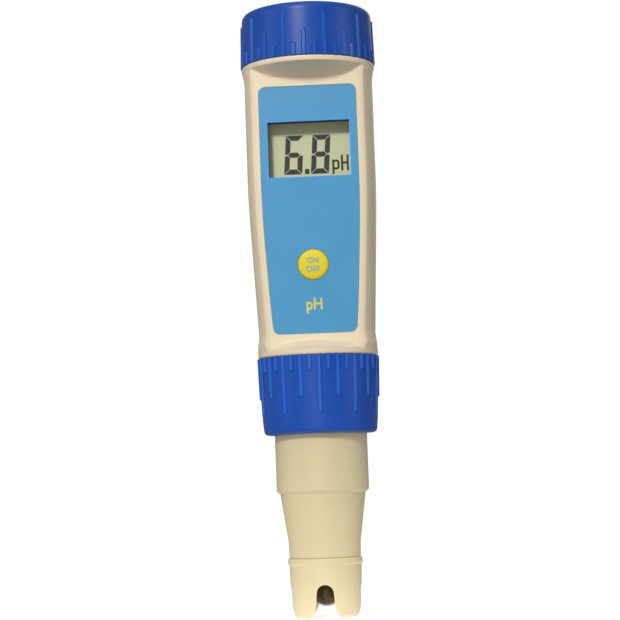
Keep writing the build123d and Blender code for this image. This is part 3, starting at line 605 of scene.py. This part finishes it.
def barrel_reach(angle, z):
    """Outer radius of the barrel; the angle runs from the front towards +X."""
    sine, cosine = math.sin(angle), math.cos(angle)
    wide = half_width(z)
    shoulder = smooth_step((z - 77.0) / 2.2) * smooth_step((160.5 - z) / 2.2) if cosine > 0 else 0.0
    deep = wide * (1 + (FULLNESS - 1) * shoulder)
    reach = 1 / math.hypot(sine / wide, cosine / deep)
    if cosine > 0.05 and 77.2 < z < 160.35:
        flat = soft_min(reach, FACE_Y / cosine, 1.6)
        for ledge in LEDGES:
            slope = min(ledge_reach(z, sine, cosine, ledge), reach)
            if slope > 0:
                flat = -soft_min(-flat, -slope, 0.45)
        reach = min(flat, LARGEST_R)
    return reach


def barrel_rings():
    """Ring heights, close together at the ledges and rims, with how far each is drawn in."""
    rings = [(LOWER_RIM_Z, 0.35), (75.7, 0.12), (75.95, 0), (76.5, 0), (77.0, 0), (77.19, 0)]
    z = 77.21
    while z < 160.33:
        rings.append((z, 0))
        near_ledge = z < 83.0 or z > 155.5
        z += CLOSE_RINGS if near_ledge else WIDE_RINGS
    return rings + [(160.34, 0), (160.5, 0), (161.2, 0), (161.5, 0), (161.68, 0.1), (UPPER_RIM_Z, 0.3)]


def build_barrel():
    """One-piece barrel with both threaded necks, recess, window and button hole."""
    segments = 480
    angles = [2 * math.pi * k / segments for k in range(segments)]

    def polar(reach_of, z):
        return [(reach_of(a) * math.sin(a), -reach_of(a) * math.cos(a), z) for a in angles]

    def threaded(r, height, z_low, z_high, z_start, turns):
        z = z_low
        while z < z_high:
            rings.append(polar(lambda a, z=z: r + height * thread_rise(a, z, z_start, turns), z))
            z += THREAD_STEP

    def cavity(radius):
        return lambda a: min(radius, 9.0 / max(math.cos(a), 1e-6)) if math.cos(a) > 0 else radius

    rings = []
    bay = [(0, 77.0), (BAY_R, 77.0), (BAY_R, 62.3), (13.1, 62.0), (14.4, 62.0), (LOWER_NECK_R, 62.25)]
    rings += [polar(lambda a, r=r: r, z) for r, z in bay]
    threaded(LOWER_NECK_R, INNER_RIDGE, 62.5, 71.5, 64.0, 2.0)
    rings.append(polar(lambda a: LOWER_NECK_R, LOWER_RIM_Z))
    rings += [polar(lambda a, z=z, drawn=drawn: barrel_reach(a, z) - drawn, z) for z, drawn in barrel_rings()]
    rings.append(polar(lambda a: UPPER_NECK_R, UPPER_RIM_Z))
    groove = [(UPPER_NECK_R, 162.6), (15.95, 162.6), (15.95, 164.4), (UPPER_NECK_R, 164.4)]
    rings += [polar(lambda a, r=r: r, z) for r, z in groove]
    threaded(UPPER_NECK_R, UPPER_RIDGE, 164.6, 172.3, 166.0, 1.9)
    mouth = [(UPPER_NECK_R, 172.3), (16.1, 172.5), (15.2, 172.5), (15.0, 172.3), (15.0, 158.8)]
    rings += [polar(lambda a, r=r: r, z) for r, z in mouth]
    hollow = [(15.0, 158.79), (15.0, 157.3), (16.6, 157.3), (16.6, 120.0), (15.0, 120.0), (15.0, 79.0)]
    rings += [polar(cavity(r), z) for r, z in hollow]
    rings.append(polar(lambda a: 0, 79.0))
    mesh = to_mesh("barrel", rings)
    outside, inside = -12.5, -7.5
    recess = prism(label_outline(0.12), outside, -10.55)
    opening = prism(rectangle(12.1, 8.3, WINDOW_Z), outside, inside)
    seat = prism(rectangle(13.6, 9.8, WINDOW_Z), -10.0, inside)
    hole = prism(list(arc_points((0, BUTTON_Z), 4.53, 0, 357, 119)), outside, inside)
    mesh = cut(mesh, [recess, opening, seat, hole])
    place("barrel", mesh, "housing", ivory, "housing", "housing", angle=38.0)


def rectangle(half_x, half_z, centre_z):
    """Corners of an upright rectangle, as (x, z) points."""
    return [
        (-half_x, centre_z - half_z), (half_x, centre_z - half_z),
        (half_x, centre_z + half_z), (-half_x, centre_z + half_z),
    ]


# Height and half width of the label.
LABEL_SIDE = ((82.0, 12.0), (86.0, 12.27), (92.0, 12.75), (99.0, 13.2), (107.0, 13.62), (115.0, 13.98),
              (124.0, 14.2), (132.0, 14.22), (154.4, 14.22))


def label_outline(margin, corner=2.0):
    """Label outline with rounded corners, as (x, z) points."""
    low, high = LABEL_SIDE[0][0] - margin, LABEL_SIDE[-1][0] + margin
    bottom, top = LABEL_SIDE[0][1] + margin, LABEL_SIDE[-1][1] + margin
    corner += margin
    right = [(x + margin, z) for z, x in LABEL_SIDE[1:-1] if low + corner < z < high - corner]
    lower = list(arc_points((bottom - corner + 0.12, low + corner), corner, -90, -3, 8))
    upper = list(arc_points((top - corner, high - corner), corner, 0, 90, 8))
    side = lower + right + upper
    return side + [(-x, z) for x, z in reversed(side)]


# ------------------------------------------------------------------ sensor
def build_sensor_shell():
    """Sensor sleeve turned in one profile, with softened steps."""
    corners = [
        (9.0, 17.3, 0), (10.4, 17.3, 0.15), (10.5, 21.7, 0.5), (12.45, 35.8, 0.35), (13.5, 36.7, 0.3),
        (13.5, 53.0, 0), (13.3, 53.0, 0), (13.3, 55.4, 0), (15.2, 55.4, 0.2), (15.2, 57.0, 0.2),
        (12.6, 57.0, 0), (12.6, 64.0, 0), (11.85, 64.0, 0), (11.85, 65.2, 0), (12.6, 65.2, 0),
        (12.6, 68.0, 0.4), (10.4, 68.0, 0), (10.4, 34.0, 0), (9.0, 34.0, 0), (9.0, 17.3, 0),
    ]
    mesh = to_mesh("sensor_sleeve", turned(refined(rounded(corners, 8), 3.0), 256))
    place("sensor_sleeve", mesh, "sensor", sensor_ivory, "sensor_shell", "sensor_shell")


def slot_outline():
    """Slot seen along its axis: arched top, flared mouth."""
    right = list(arc_points((0, 7.15), 2.5, 90, 0, 10)) + [(2.62, 5.4), (2.78, 3.0), (3.0, 2.3)]
    right += [(3.55, 1.4), (4.2, 0.6), (4.8, 0.05), (5.3, -0.5)]
    return right + [(-x, z) for x, z in reversed(right[1:])]


def build_guard():
    """Guard cage: turned shell with crossed slots, then softened as moulded."""
    corners = [
        (8.0, 0.0, 0), (10.15, 0.0, 1.8), (10.33, 7.9, 0), (10.5, 15.2, 0.3), (10.86, 15.6, 0.35),
        (10.86, 17.1, 0.35), (10.3, 17.29, 0), (8.95, 17.3, 0), (8.95, 20.5, 0), (8.0, 20.5, 0),
        (8.0, 13.6, 0), (4.05, 13.6, 0), (4.05, 11.6, 0), (8.0, 11.6, 0.8), (8.0, 0.0, 0),
    ]
    body = to_mesh("guard_cage", turned(refined(rounded(corners, 6), 0.8), 256))
    clear_of_wall = 14
    along_y = prism(slot_outline(), -clear_of_wall, clear_of_wall)
    along_x = prism(slot_outline(), -clear_of_wall, clear_of_wall)
    along_x.transform(Matrix.Rotation(math.radians(90), 4, "Z"))
    mesh = cut(body, [along_y, along_x])
    soften(mesh, 0.17, 4)
    place("guard_cage", mesh, "sensor", sensor_ivory, "sensor_guard", "sensor_guard", angle=80.0)


def soften(mesh, voxel, rounds):
    """Even fine mesh with rounded edges, as a moulding has; voxel in millimetres."""
    work = bpy.data.objects.new("work_soften", mesh)
    bpy.context.scene.collection.objects.link(work)
    remesh = work.modifiers.new("remesh", "REMESH")
    remesh.mode = "VOXEL"
    remesh.voxel_size = voxel * MM
    smooth = work.modifiers.new("smooth", "SMOOTH")
    smooth.factor = 0.5
    smooth.iterations = rounds
    bpy.context.view_layer.update()
    result = bpy.data.meshes.new_from_object(work.evaluated_get(bpy.context.evaluated_depsgraph_get()))
    bpy.data.objects.remove(work)
    replaced = bmesh.new()
    replaced.from_mesh(result)
    replaced.to_mesh(mesh)
    replaced.free()


def build_bulb():
    """Thin glass bulb that flows into the stem."""
    centre, outer_r, inner_r, top = (0, 7.4), 4.4, 4.05, 11.0
    outer = list(arc_points(centre, outer_r, -90, 24, 28)) + [(3.98, 9.7), (3.98, top)]
    inner = [(3.4, top), (3.45, 9.6)] + list(arc_points(centre, inner_r, 24, -90, 28))
    line = [Vector(point) for point in outer + inner]
    line[0].x = line[-1].x = 0.0
    mesh = to_mesh("ph_bulb", turned(line, 96))
    place("ph_bulb", mesh, "sensor", ph_glass, "glass_bulb", "glass_bulb")


# ------------------------------------------------------------------ button and lettering
def facing_front(mesh, height):
    """Turns a mesh made along +Z to face -Y at a height in millimetres."""
    mesh.transform(Matrix.Translation((0, 0, height * MM)) @ Matrix.Rotation(math.radians(90), 4, "X"))


def build_button():
    """Domed round key with a stem."""
    corners = [
        (0, 11.5, 0), (2.6, 11.46, 20), (3.9, 11.3, 2), (4.45, 10.85, 0.4), (4.45, 8.8, 0.1),
        (5.5, 8.8, 0.2), (5.5, 7.8, 0.1), (1.0, 7.8, 0), (1.0, 3.7, 0.1), (0, 3.7, 0),
    ]
    mesh = to_mesh("button_key", turned(refined(rounded(corners, 6), 0.6), 128))
    facing_front(mesh, BUTTON_Z)
    place("button_key", mesh, "button", yellow, "power_button", "power_button")


INK_RISE = 0.02
STROKE_SHARE = 0.018


def lettering(name, text, size, narrow, spot, body, material, slot, *replaced):
    """Printed word as a very thin raised mesh; spot is the middle of its base line."""
    curve = bpy.data.curves.new(name, "FONT")
    curve.body = text
    curve.size = size * MM
    curve.align_x = "CENTER"
    curve.extrude = INK_RISE * MM
    curve.offset = STROKE_SHARE * size * MM
    curve.resolution_u = 8
    holder = bpy.data.objects.new("work_text", curve)
    bpy.context.scene.collection.objects.link(holder)
    bpy.context.view_layer.update()
    mesh = bpy.data.meshes.new_from_object(holder.evaluated_get(bpy.context.evaluated_depsgraph_get()))
    bpy.data.objects.remove(holder)
    mesh.transform(Matrix.Diagonal((narrow, 1, 1, 1)))
    mesh.transform(Matrix.Rotation(math.radians(90), 4, "X"))
    mesh.transform(Matrix.Translation([value * MM for value in spot]))
    mesh.name = name
    place(name, mesh, body, material, slot, *replaced)


def build_window_highlight():
    """Thin bright line round the window, a painted highlight along the window's edge."""
    outer = rectangle(12.35, 8.55, WINDOW_Z)
    inner = rectangle(11.96, 8.16, WINDOW_Z)
    front, back = -10.87, -10.7
    points = [(x * MM, y * MM, z * MM) for y in (front, back) for loop in (outer, inner) for x, z in loop]
    faces = []
    for k in range(4):
        n = (k + 1) % 4
        faces += [
            (k, n, 4 + n, 4 + k), (8 + k, 12 + k, 12 + n, 8 + n),
            (k, 8 + k, 8 + n, n), (4 + k, 4 + n, 12 + n, 12 + k),
        ]
    mesh = bpy.data.meshes.new("window_edge_highlight")
    mesh.from_pydata(points, [], faces)
    tidy_mesh(mesh)
    place("window_edge_highlight", mesh, "housing", window_highlight_paint, "front_label")


def build_lettering():
    """Printed words in place of the block letters."""
    marking = "button_marking"
    key_front, label_front = -11.55, -10.86
    lettering("button_on", "ON", 2.35, 0.92, (0, key_front, 102.35), "button", grey_ink, marking, marking)
    lettering("button_off", "OFF", 2.35, 1.0, (0, key_front, 99.8), "button", grey_ink, marking)
    word = (0, label_front, 88.9)
    lettering("label_ph", "pH", 4.75, 0.86, word, "housing", yellow_ink, "ph_marking", "ph_marking")


build_battery_cap()
build_collar()
build_barrel()
build_sensor_shell()
build_guard()
build_bulb()
build_button()
build_window_highlight()
build_lettering()

# ------------------------------------------------------------------ stage, light, camera
FLOOR_RADIUS = 1.6
FLOOR_GLOW = 0.62
FADE_START = 0.02
FADE_STOP = 0.09
SEEN_STRENGTH = 1.05
LIGHT_STRENGTH = 0.24


def build_floor():
    """Pale floor whose rim fades into the white surroundings."""
    mesh = bpy.data.meshes.new("floor")
    steps = 96
    ring_points = [
        (FLOOR_RADIUS * math.cos(a), FLOOR_RADIUS * math.sin(a), 0.0)
        for a in (2 * math.pi * k / steps for k in range(steps))
    ]
    mesh.from_pydata(ring_points, [], [list(range(steps))])
    floor = bpy.data.objects.new("floor", mesh)
    bpy.context.scene.collection.objects.link(floor)
    material = bpy.data.materials.new("floor_paper")
    material.use_nodes = True
    nodes, links = material.node_tree.nodes, material.node_tree.links
    nodes.clear()
    output = nodes.new("ShaderNodeOutputMaterial")
    mix = nodes.new("ShaderNodeMixShader")
    paper = nodes.new("ShaderNodeBsdfPrincipled")
    paper.inputs["Base Color"].default_value = plain((0.93, 0.93, 0.93))
    paper.inputs["Roughness"].default_value = 0.9
    paper.inputs["Specular IOR Level"].default_value = 0.0
    paper.inputs["Emission Color"].default_value = plain((1, 1, 1))
    paper.inputs["Emission Strength"].default_value = FLOOR_GLOW
    through = nodes.new("ShaderNodeBsdfTransparent")
    place = nodes.new("ShaderNodeTexCoord")
    length = nodes.new("ShaderNodeVectorMath")
    length.operation = "LENGTH"
    fade = nodes.new("ShaderNodeMapRange")
    fade.interpolation_type = "SMOOTHSTEP"
    fade.inputs["From Min"].default_value = FADE_START
    fade.inputs["From Max"].default_value = FADE_STOP
    links.new(place.outputs["Object"], length.inputs[0])
    links.new(length.outputs["Value"], fade.inputs["Value"])
    links.new(fade.outputs[0], mix.inputs[0])
    links.new(paper.outputs[0], mix.inputs[1])
    links.new(through.outputs[0], mix.inputs[2])
    links.new(mix.outputs[0], output.inputs[0])
    mesh.materials.append(material)


def build_world():
    """White surroundings, seen brighter than they light."""
    world = bpy.data.worlds.new("studio")
    bpy.context.scene.world = world
    world.use_nodes = True
    nodes, links = world.node_tree.nodes, world.node_tree.links
    nodes.clear()
    output = nodes.new("ShaderNodeOutputWorld")
    seen = nodes.new("ShaderNodeBackground")
    seen.inputs["Color"].default_value = plain((1, 1, 1))
    seen.inputs["Strength"].default_value = SEEN_STRENGTH
    lights = nodes.new("ShaderNodeBackground")
    lights.inputs["Color"].default_value = plain((1, 1, 1))
    lights.inputs["Strength"].default_value = LIGHT_STRENGTH
    path = nodes.new("ShaderNodeLightPath")
    mix = nodes.new("ShaderNodeMixShader")
    links.new(path.outputs["Is Camera Ray"], mix.inputs[0])
    links.new(lights.outputs[0], mix.inputs[1])
    links.new(seen.outputs[0], mix.inputs[2])
    links.new(mix.outputs[0], output.inputs[0])


def area_light(name, azimuth, elevation, distance, size, power, target):
    """Soft box aimed at target; azimuth from the front towards +X, degrees."""
    data = bpy.data.lights.new(name, "AREA")
    data.shape = "RECTANGLE"
    data.size, data.size_y = size
    data.energy = power
    light = bpy.data.objects.new(name, data)
    bpy.context.scene.collection.objects.link(light)
    a, e = math.radians(azimuth), math.radians(elevation)
    away = Vector((math.sin(a) * math.cos(e), -math.cos(a) * math.cos(e), math.sin(e)))
    light.location = Vector(target) + away * distance
    light.rotation_euler = away.to_track_quat("Z", "Y").to_euler()


MIDDLE = (0, 0, 0.1)
LIGHTS = (
    # name, azimuth, elevation, distance, size, power, target
    ("key", -12, 29.5, 0.9, (0.13, 0.13), 4.4, MIDDLE),
    ("top_soft", -20, 66, 0.8, (0.5, 0.5), 0.8, MIDDLE),
    ("front_soft", -8, -8, 0.9, (0.4, 0.3), 0.9, (0, 0, 0.14)),
    ("rear_soft", 175, 25, 0.9, (0.6, 0.6), 1.3, MIDDLE),
    ("fill_right", 70, 12, 0.9, (0.3, 0.6), 1.1, (0, 0, 0.12)),
    ("fill_left", -65, 12, 0.9, (0.3, 0.6), 0.75, MIDDLE),
)


CAMERA_LENS = 119.0
CAMERA_DISTANCE = 0.6012
CAMERA_HEIGHT = 0.0381
CAMERA_PITCH = 4.9
CAMERA_AZIMUTH = 2.5
CAMERA_ROLL = -2.05
AXIS_OFFSET = 0.0019


def build_camera():
    """Long lens a little over half a metre away, low and tilted up."""
    data = bpy.data.cameras.new("camera")
    data.lens = CAMERA_LENS
    data.sensor_width = 36.0
    data.clip_start = 0.01
    data.clip_end = 20.0
    camera = bpy.data.objects.new("camera", data)
    bpy.context.scene.collection.objects.link(camera)
    a = math.radians(CAMERA_AZIMUTH)
    camera.location = (
        CAMERA_DISTANCE * math.sin(a),
        -CAMERA_DISTANCE * math.cos(a),
        CAMERA_HEIGHT,
    )
    yaw = a + math.atan(AXIS_OFFSET / CAMERA_DISTANCE)
    turn = Matrix.Rotation(yaw, 4, "Z") @ Matrix.Rotation(math.radians(90 + CAMERA_PITCH), 4, "X")
    turn = turn @ Matrix.Rotation(math.radians(CAMERA_ROLL), 4, "Z")
    camera.rotation_euler = turn.to_euler()
    bpy.context.scene.camera = camera


build_floor()
build_world()
for light_row in LIGHTS:
    area_light(*light_row)
build_camera()
bpy.context.scene.view_settings.view_transform = "Standard"
